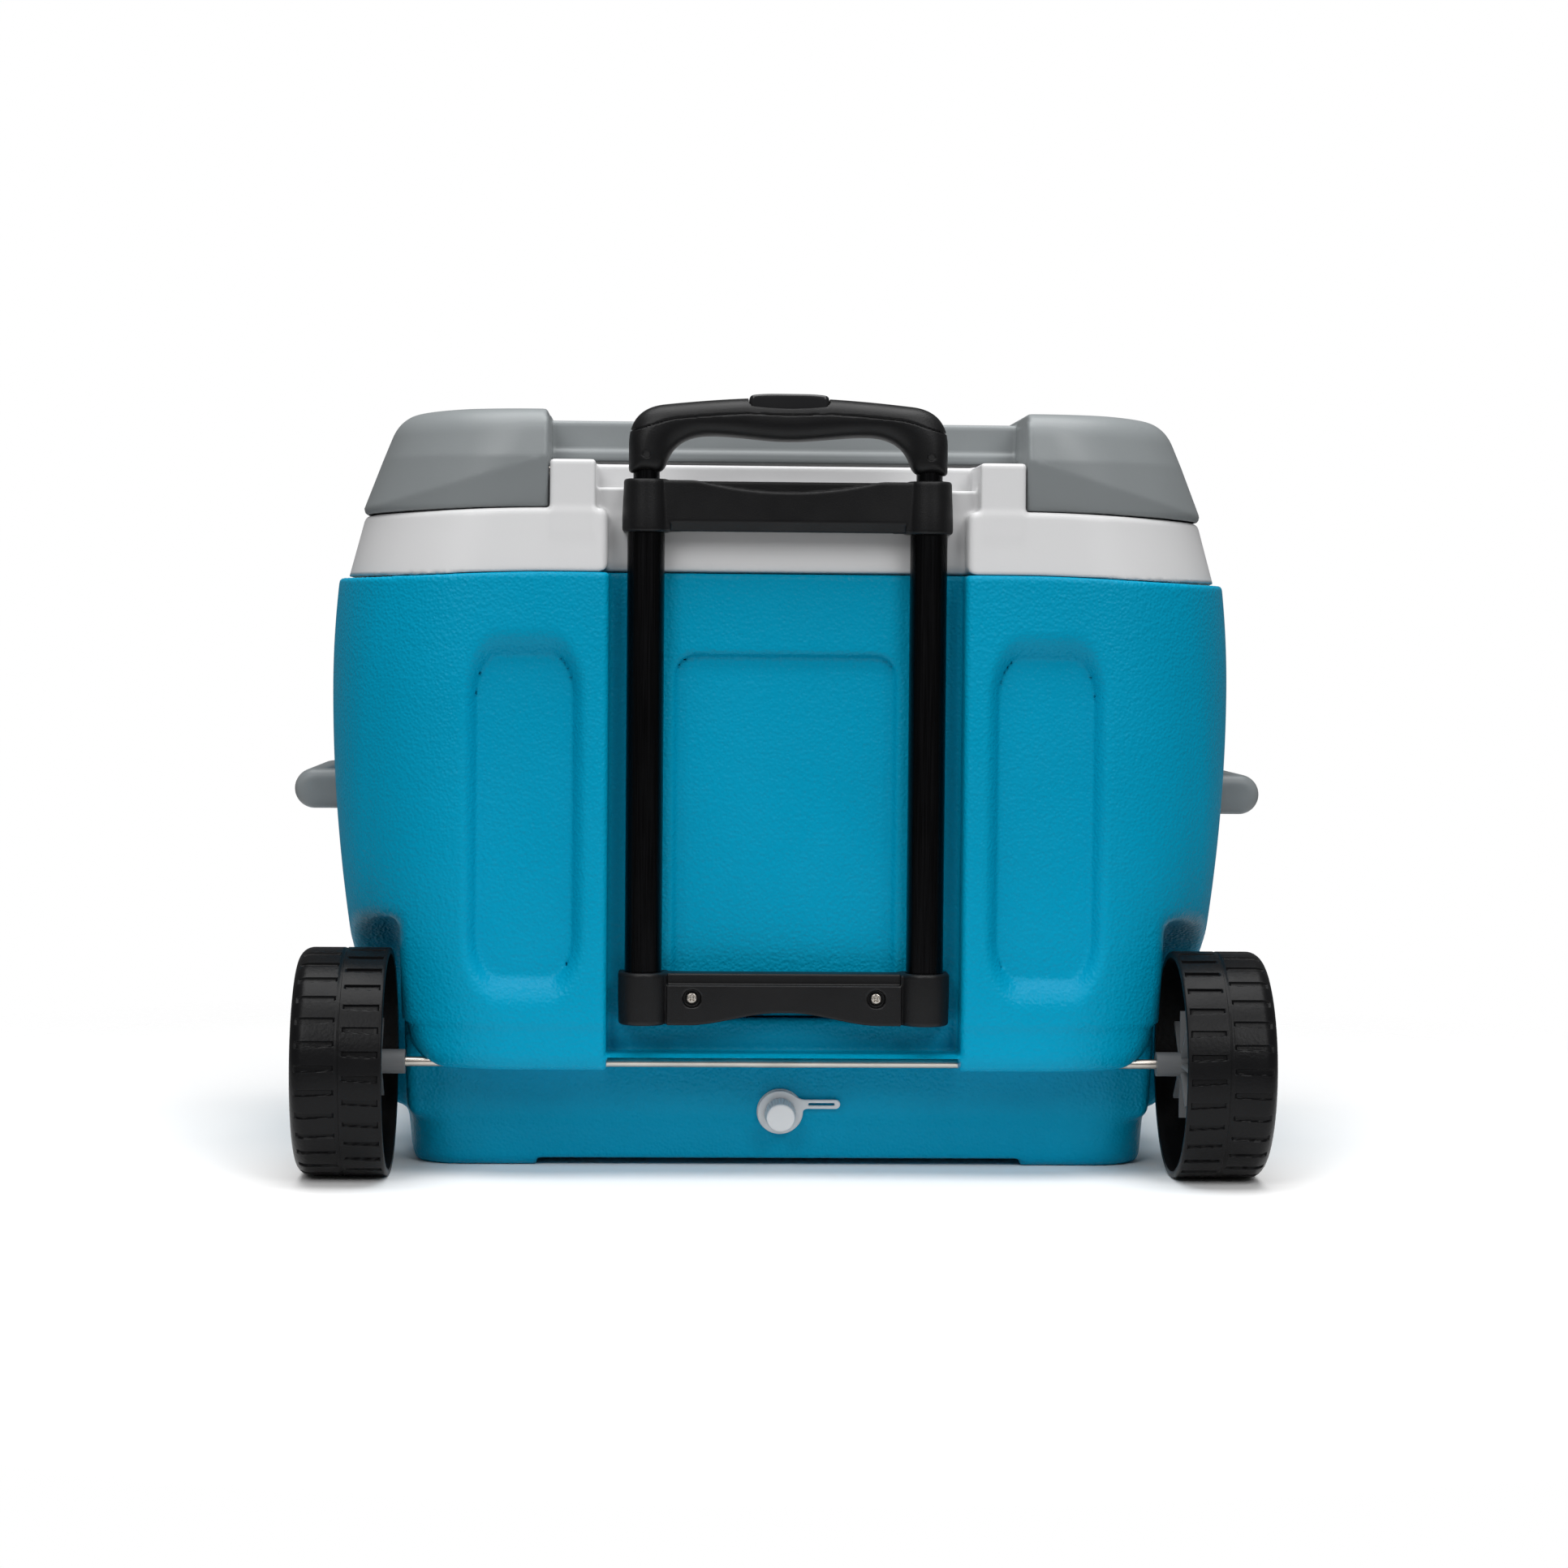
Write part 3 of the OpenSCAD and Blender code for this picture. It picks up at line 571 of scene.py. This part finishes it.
def make_lid():
    across = mirrored(grid(0, LID_HI[0] + 6, (146, 172, 1.8), (180, 285, 2.6), coarse=4))
    deep = grid(LID_LO[1] - 6, LID_HI[1] + 6, (-194, -90, 2.0), (150, 236, 2.2), coarse=5)
    high = grid(LID_LO[2] - 5, LID_HI[2] + 6, coarse=1.8)
    moulding("lid_cover", lid_field, (across, deep, high), GREY, "lid",
             "grey_plastic", "lid_shell", reach=1.0)


def lid_foam_field(p):
    return smooth_max(lid_outside(p, 5.8), 470 - p[2], 1)


def lid_liner_field(p):
    """The plate that closes the lid's underside, with a plug that fits down into the tub."""
    z = p[2]
    plate = smooth_max(lid_outside(p, 4.6), slab(z, 466.6, 469.8), 0.8)
    plug = smooth_max(smooth_max(tub_form(p, -7), 440 - z, 5), z - 467.5, 1)
    hollow = smooth_max(tub_form(p, -11), z - 463, 5)
    return smooth_max(smooth_min(plate, plug, 2), -hollow, 2)


def make_lid_inside():
    across = mirrored(grid(0, LID_HI[0], (205, 250, 2.2), coarse=5))
    deep = grid(LID_LO[1] - 2, LID_HI[1] + 4, (-125, -95, 2.2), (165, 200, 2.2), coarse=5)
    high = grid(464, LID_HI[2] + 4, coarse=3)
    moulding("lid_foam_fill", lid_foam_field, (across, deep, high), FOAM, "lid",
             "insulating_foam", "lid_foam", reach=1.0)
    high = grid(434, 475, (434, 446, 1.6), (460, 475, 0.9), coarse=3)
    moulding("lid_liner_plate", lid_liner_field, (across, deep, high), WHITE, "lid",
             "white_plastic", "lid_liner", reach=0.8)


# ---- the pull handle ----

def grip_field(p):
    x, y, z = p
    across = np.abs(x)
    lo, hi = GRIP_LO, GRIP_HI
    crown = hi[2] - 6 * (across / 86) ** 1.7 - 1.6 * np.maximum(1 - (across / 26) ** 2, 0)
    outer = smooth_max(across - hi[0], z - crown, 23)
    outer = smooth_max(outer, lo[2] - z, 3)
    under = 479.4 - 3.2 * step(50, 0, across)
    arch = smooth_max(across - 79.5, z - under, 30)
    shape = smooth_max(outer, -arch, 7)
    thick = slab(y, lo[1] + 0.3, hi[1] - 0.3) + 1.2 * step(60, 0, across)
    field = smooth_max(shape, thick, 15)
    seam = np.abs(z - (crown - 10.5 - 4 * step(70, 100, across))) - 0.4
    field = np.maximum(field, -np.maximum(seam, -0.7 - field))
    pin_mark = np.hypot(across - LEG_X, z - PIN_Z) - 2.3
    field = np.maximum(field, -np.maximum(pin_mark, -0.6 - field))
    socket = np.maximum(np.hypot(across - LEG_X, y - LEG_Y) - 8.55, z - 480.3)
    slot = block((x, y, z), (-BUTTON_X, LEG_Y - 11, 488.8), (BUTTON_X, LEG_Y + 11, 540), 3)
    tunnel = block((x, y, z), (-95.4, LEG_Y - 5, 481.8), (95.4, LEG_Y + 5, 490.4), 0.4)
    return np.maximum(np.maximum(field, -socket), -np.minimum(slot, tunnel))


def button_field(p):
    """The push button, with a stem that is bored to clear its spring at the end of its travel."""
    x, y, z = p
    lo, hi = node_box("grip_button")
    crown = hi[2] - 0.2 - 1.3 * (x / 25.5) ** 4
    cap = block((x, y, z), (lo[0], lo[1], BUTTON_LOW), (hi[0], hi[1], 530), 3)
    cap = smooth_max(cap, z - crown, 2.5)
    stem = block((x, y, z), (-8, LEG_Y - 4.2, 490.2), (8, LEG_Y + 4.2, 498), 0.8)
    spring_lo, spring_hi = node_box("button_spring")
    bore = np.hypot(x, y - LEG_Y) - (spring_hi[0] - spring_lo[0]) / 2 - 0.4
    bore = np.maximum(bore, z - spring_hi[2] - PRESS - 0.4)
    return np.maximum(smooth_min(cap, stem, 1), -bore)


def collar_pair(p, lo, hi, flare):
    """The two round sockets of a bracket, with the flat that stands on the body."""
    x, y, z = p
    across = np.abs(x)
    r = hi[0] - LEG_X + flare
    ring = np.hypot(across - LEG_X, y - LEG_Y) - r
    foot = np.maximum(np.abs(across - LEG_X) - r, np.maximum(LEG_Y - y, y - hi[1]))
    return smooth_max(np.minimum(ring, foot), slab(z, lo[2], hi[2]), 2.5)


def top_bracket_field(p):
    x, y, z = p
    across = np.abs(x)
    lo, hi = TOP_LO, TOP_HI
    flare = -0.9 * step(lo[2] + 6, hi[2], z)
    collars = collar_pair(p, lo, hi, flare)
    scoop = 444 + 7.5 * (across / 60) ** 2
    bar = block((across, y, z), (-50, BRACKET_FACE, lo[2] + 0.6), (80, hi[1], hi[2] - 0.8), 1.2)
    bar = smooth_max(bar, -np.maximum(scoop - z, y + 173), 1.2)
    bevel = np.maximum(y - BRACKET_FACE - 0.8 * (lo[2] + 7 - z), across - 75.5)
    bar = smooth_max(bar, -bevel, 0.5)
    field = smooth_min(collars, bar, 1.2)
    hollow = block((across, y, z), (-50, -176, 405), (68, -150, 441), 2)
    field = smooth_max(field, -hollow, 1)
    leg = np.hypot(across - LEG_X, y - LEG_Y)
    hole = np.minimum(np.maximum(leg - SLEEVE_R, z - 449.8), leg - 10.7)
    return np.maximum(field, -hole)


def bottom_bracket_field(p):
    x, y, z = p
    across = np.abs(x)
    lo, hi = LOW_LO, LOW_HI
    collars = collar_pair(p, lo, hi, -0.4 * step(hi[2] - 8, lo[2], z))
    arch = 101 + 8 * step(62, 4, across)
    bar = block((across, y, z), (-50, BRACKET_FACE, lo[2] - 9), (76, hi[1], hi[2] - 0.8), 1.2)
    bar = smooth_max(bar, arch - z, 1.5)
    top_step = np.maximum(127 - z, np.maximum(across - 75.5, y + 181.5))
    bar = smooth_max(bar, -top_step, 0.8)
    field = smooth_min(collars, bar, 1.2)
    screw = np.hypot(across - SCREW_X, z - SCREW_Z)
    field = np.maximum(field, -np.maximum(screw - 6.1, y + 181))
    field = np.maximum(field, -(screw - 2.3))
    leg = np.hypot(across - LEG_X, y - LEG_Y)
    return np.maximum(field, -np.maximum(leg - SLEEVE_R, 103.8 - z))


def screw_field(p):
    """Two pan-head screws with cross recesses."""
    x, y, z = p
    u, w = np.abs(x) - SCREW_X, z - SCREW_Z
    lo, hi = node_box("bracket_screws")
    head = smooth_max(np.hypot(u, w) - 4, slab(y, lo[1], SCREW_HEAD_Y), 2.2)
    long, thin = (u + w) * 0.707, (u - w) * 0.707
    cross = np.minimum(np.maximum(np.abs(long) - 2.3, np.abs(thin) - 0.5),
                       np.maximum(np.abs(thin) - 2.3, np.abs(long) - 0.5))
    head = smooth_max(head, -np.maximum(cross, y - lo[1] - 1.5), 0.3)
    return np.minimum(head, np.maximum(np.hypot(u, w) - 2, slab(y, -182, hi[1])))


GRIP_LO, GRIP_HI = node_box("grip")
TOP_LO, TOP_HI = node_box("top_bracket")
LOW_LO, LOW_HI = node_box("bottom_bracket")


def handle_grid(lo, hi, spacing):
    return tuple(grid(lo[i] - 3, hi[i] + 3, coarse=spacing) for i in range(3))


def make_handle():
    moulding("grip_moulding", grip_field, handle_grid(GRIP_LO, GRIP_HI, 0.8), BLACK, "handle_inner",
             "black_plastic", "grip", reach=0.5)
    lo, hi = node_box("grip_button")
    moulding("grip_button_cap", button_field, handle_grid(lo, hi, 0.8), BUTTON_BLACK, "grip_button",
             "grey_plastic", "grip_button", reach=0.4)
    moulding("top_bracket_moulding", top_bracket_field, handle_grid(TOP_LO, TOP_HI, 1.1), BLACK,
             "cooler", "black_plastic", "top_bracket", reach=0.5)
    moulding("bottom_bracket_moulding", bottom_bracket_field, handle_grid(LOW_LO, LOW_HI, 1.1), BLACK,
             "cooler", "black_plastic", "bottom_bracket", reach=0.5)
    across = mirrored(grid(54, 65, coarse=0.35))
    screw_grid = (across, grid(-184, -147, (-184, -180, 0.35), coarse=1.5), grid(113, 124, coarse=0.35))
    moulding("screws", screw_field, screw_grid, STEEL, "cooler", "plain_steel", "bracket_screws",
             reach=0.2)


# ---- side handles ----

def make_side_handle(side, name):
    lo, hi = node_box(name)

    def field(p):
        x, y, z = p
        out = side * x
        reach = np.clip(out, SIDE_PIVOT, SIDE_PIVOT + SIDE_REACH)
        round_bar = np.hypot(out - reach, z - SIDE_Z) - 13.5
        form = smooth_max(round_bar, slab(y, lo[1], hi[1]), 8)
        window = np.maximum(out - SIDE_PIVOT - 19, slab(y, lo[1] + 12, hi[1] - 12))
        form = smooth_max(form, -window, 6)
        hole = np.hypot(out - SIDE_PIVOT, z - SIDE_Z) - 3.2
        return np.maximum(form, -hole)

    moulding(name + "_moulding", field, handle_grid(lo, hi, 1.7), GREY, name, "grey_plastic", name,
             reach=0.8)


# ---- wheels ----

WHEEL_R = 74
LUGS = 30
WHEEL_TURN = 360 * 3


def tread_profile(width):
    """Points (distance out from the inner face, radius, ring of lugs or 0) across the tread."""
    points = []
    for t in np.linspace(0, 1, 5):
        a = math.radians(-80 + 80 * t)
        points.append((1.6 + 1.6 * math.sin(a), WHEEL_R - 1.6 + 1.6 * math.cos(a), 0))
    for u in (2.4, 3.2, 4.0, 6.0, 8.5, 11, 13.5, 16, 18.5, 21, 23.6, 24.4, 25.2, 25.9):
        points.append((u, WHEEL_R, 1))
    for u, drop in ((26.6, 0), (27.2, 0), (27.5, 0.45), (28.6, 0.45), (29.4, 0.2)):
        points.append((u, WHEEL_R - drop, 0))
    for u in (29.9, 30.6, 31.4, 33, 36, 39, 42, 45, width - 9.6):
        points.append((u, WHEEL_R, 2))
    for t in np.linspace(0.08, 1, 9):
        a = math.radians(90 * t)
        points.append((width - 9.5 + 9.5 * math.sin(a), WHEEL_R - 9.5 + 9.5 * math.cos(a),
                       2 if t < 0.6 else 0))
    return points


def groove_depth(u, turn, ring, width):
    """Wedge grooves, widest at the wheel's edges; both sides of a groove are cut with the same short
    ramp.
    """
    if ring == 0:
        return np.zeros_like(turn)
    pitch = 360 / LUGS
    phase = (turn + (0 if ring == 1 else pitch * 0.41)) % pitch
    inner_end, outer_end = (3.2, 25.0) if ring == 1 else (30.8, width - 4.5)
    from_edge = (u - inner_end) / 22 if ring == 1 else (outer_end - u) / 24
    open_for = 3.7 - 1.0 * min(max(from_edge, 0), 1)
    ends = float(step(inner_end - 0.6, inner_end + 0.2, u)
                 * (1 - step(outer_end - 0.8, outer_end + 0.6, u)))
    cut = step(0, 0.35, phase) * (1 - step(open_for - 0.35, open_for, phase))
    return 1.6 * ends * cut


def make_tyre(side, name, body):
    lo, hi = node_box(name)
    width = hi[0] - lo[0]
    sides_in = lo[0] if side > 0 else -hi[0]
    turn = np.arange(0, 360, 360 / WHEEL_TURN)
    rows = [(u, r - groove_depth(u, turn, ring, width)) for u, r, ring in tread_profile(width)]
    outer_side = [(width - inset, r) for inset, r in
                  ((0, 58), (0.8, 50), (2.4, 46), (4.8, 46), (5.4, 52), (9.4, 66.5))]
    inner_side = [(24.0, 67.6), (23.8, 40.0), (20.2, 40.0), (19.8, 67.6), (8.0, 69.3), (0.3, 69.8)]
    for u, r in outer_side + inner_side:
        rows.append((u, np.full_like(turn, r)))
    points = []
    angle = np.radians(turn)
    for u, r in rows:
        points.append(np.stack([np.full_like(r, side * (sides_in + u)), AXLE_Y + r * np.cos(angle),
                                AXLE_Z + r * np.sin(angle)], 1))
    points = np.concatenate(points)
    count, n = len(rows), len(turn)
    i, j = np.meshgrid(np.arange(count), np.arange(n), indexing="ij")
    up, on = (i + 1) % count, (j + 1) % n
    quads = np.stack([i * n + j, up * n + j, up * n + on, i * n + on], -1).reshape(-1, 4)
    if side > 0:
        quads = quads[:, ::-1]
    piece = make_mesh(name + "_tread", points, quads.tolist(), TREAD)
    piece.data.set_sharp_from_angle(angle=math.radians(38))
    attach(piece, body)
    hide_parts(name)


# ---- drain ----

def drain_local(p):
    """Coordinates along the drain: across, up the wall and out along its axis."""
    x, y, z = p
    dy, dz = y - DRAIN_Y, z - DRAIN_Z
    out = -dy * math.cos(DRAIN_TILT) - dz * math.sin(DRAIN_TILT)
    up = dz * math.cos(DRAIN_TILT) - dy * math.sin(DRAIN_TILT)
    return x, up, out


def tether_field(p):
    """A ring round the cap whose strap runs to one side and ends in a slim loop."""
    x, up, out = drain_local(p)
    ring = np.hypot(x, up) - 14.8
    along = np.clip(x, 8, 36.6)
    strap = np.hypot(x - along, up - 5.6) - 3.15
    plate = smooth_min(ring, strap, 4)
    slot = np.hypot(x - np.clip(x, 19.5, 35.2), up - 5.6) - 0.85
    plate = np.maximum(plate, -slot)
    field = smooth_max(plate, slab(out, 4.05, 5.95), 0.9)
    return np.maximum(field, 9.15 - np.hypot(x, up))


def cap_field(p):
    """A knurled cap with a smooth round face."""
    x, up, out = drain_local(p)
    radius, turn = np.hypot(x, up), np.arctan2(up, x)
    knurl = 0.35 * np.cos(30 * turn) * step(18.4, 17.0, out) * step(7.0, 8.0, out)
    side = radius - 10.35 - knurl + 0.07 * (out - 6)
    field = smooth_max(side, slab(out, 6.4, 19.95), 1.4)
    bore = np.maximum(radius - 8.8, out - 17)
    return np.maximum(field, -bore)


def make_drain():
    for name, field, spacing, body in (("drain_tether", tether_field, 0.55, "drain_tether"),
                                       ("drain_cap", cap_field, 0.42, "drain_cap")):
        lo, hi = node_box(name)
        moulding(name + "_moulding", field, handle_grid(lo, hi, spacing), WHITE, body,
                 "white_plastic", name, reach=0.3)


make_shell()
make_body_foam()
make_liner()
make_lid()
make_lid_inside()
make_handle()
for side, end in ((-1, "left"), (1, "right")):
    make_side_handle(side, "side_handle_" + end)
    make_tyre(side, "tyre_" + end, "wheel_" + end)
make_drain()

# ---- floor, lights and camera ----

def make_floor():
    """A pale floor that fades into the white studio beyond the object."""
    mesh = bpy.data.meshes.new("floor")
    far = 4.0
    corners = [(-far, -far, 0), (far, -far, 0), (far, far, 0), (-far, far, 0)]
    mesh.from_pydata(corners, [], [(0, 1, 2, 3)])
    n = Nodes("floor_white")
    tone = n.blend(n.spread(n.noise(0.5, 2), 0, 1), (0.95, 0.95, 0.95), (0.97, 0.97, 0.97))
    material = n.finish(tone, n.spread(n.noise(3, 2), 0.8, 0.9), specular=0.1)
    away = n.tree.nodes.new("ShaderNodeVectorMath")
    away.operation = "LENGTH"
    n.link(n.place, away.inputs[0])
    clear = n.tree.nodes.new("ShaderNodeBsdfTransparent")
    mix = n.tree.nodes.new("ShaderNodeMixShader")
    n.link(n.spread(away.outputs["Value"], 0, 1, 0.42, 1.0), mix.inputs[0])
    n.link(n.shader.outputs[0], mix.inputs[1])
    n.link(clear.outputs[0], mix.inputs[2])
    n.link(mix.outputs[0], n.tree.nodes["Material Output"].inputs["Surface"])
    mesh.materials.append(material)
    floor = bpy.data.objects.new("floor", mesh)
    bpy.context.scene.collection.objects.link(floor)


def aim(ob, target):
    ob.rotation_euler = (Vector(target) - ob.location).to_track_quat("-Z", "Y").to_euler()


def area_light(name, place, target, wide, tall, power):
    lamp = bpy.data.lights.new(name, "AREA")
    lamp.shape = "RECTANGLE"
    lamp.size, lamp.size_y = wide, tall
    lamp.energy = power
    ob = bpy.data.objects.new(name, lamp)
    ob.location = place
    aim(ob, target)
    bpy.context.scene.collection.objects.link(ob)


def make_lights():
    middle = (0, 0, 0.25)
    area_light("left_softbox", (-1.1, -2.4, 1.9), middle, 1.0, 1.4, 27)
    area_light("right_softbox", (1.1, -2.4, 1.9), middle, 1.0, 1.4, 27)
    area_light("overhead", (0, -0.3, 2.4), middle, 2.4, 2.0, 76)


def make_world():
    """A white room that shows white behind the object and lights it more gently."""
    world = bpy.data.worlds.new("studio")
    world.use_nodes = True
    tree = world.node_tree
    back = tree.nodes["Background"]
    back.inputs["Color"].default_value = (1, 1, 1, 1)
    path = tree.nodes.new("ShaderNodeLightPath")
    level = tree.nodes.new("ShaderNodeMapRange")
    level.inputs["To Min"].default_value = 0.13
    level.inputs["To Max"].default_value = 1.0
    tree.links.new(path.outputs["Is Camera Ray"], level.inputs["Value"])
    tree.links.new(level.outputs["Result"], back.inputs["Strength"])
    bpy.context.scene.world = world
    bpy.context.scene.view_settings.view_transform = "Standard"


def make_camera():
    """Nearly square to the rear, a little to the left, at a third of a metre."""
    lens = bpy.data.cameras.new("camera")
    lens.lens = 77.5
    lens.sensor_width = 36
    ob = bpy.data.objects.new("camera", lens)
    ob.location = (-0.085, -2.351, 0.354)
    pitch, yaw, roll = math.radians(87.44), math.radians(-2.212), math.radians(0.507)
    ob.rotation_euler = (pitch, 0, yaw)
    ob.rotation_euler.rotate_axis("Z", roll)
    bpy.context.scene.collection.objects.link(ob)
    bpy.context.scene.camera = ob


make_floor()
make_lights()
make_world()
make_camera()
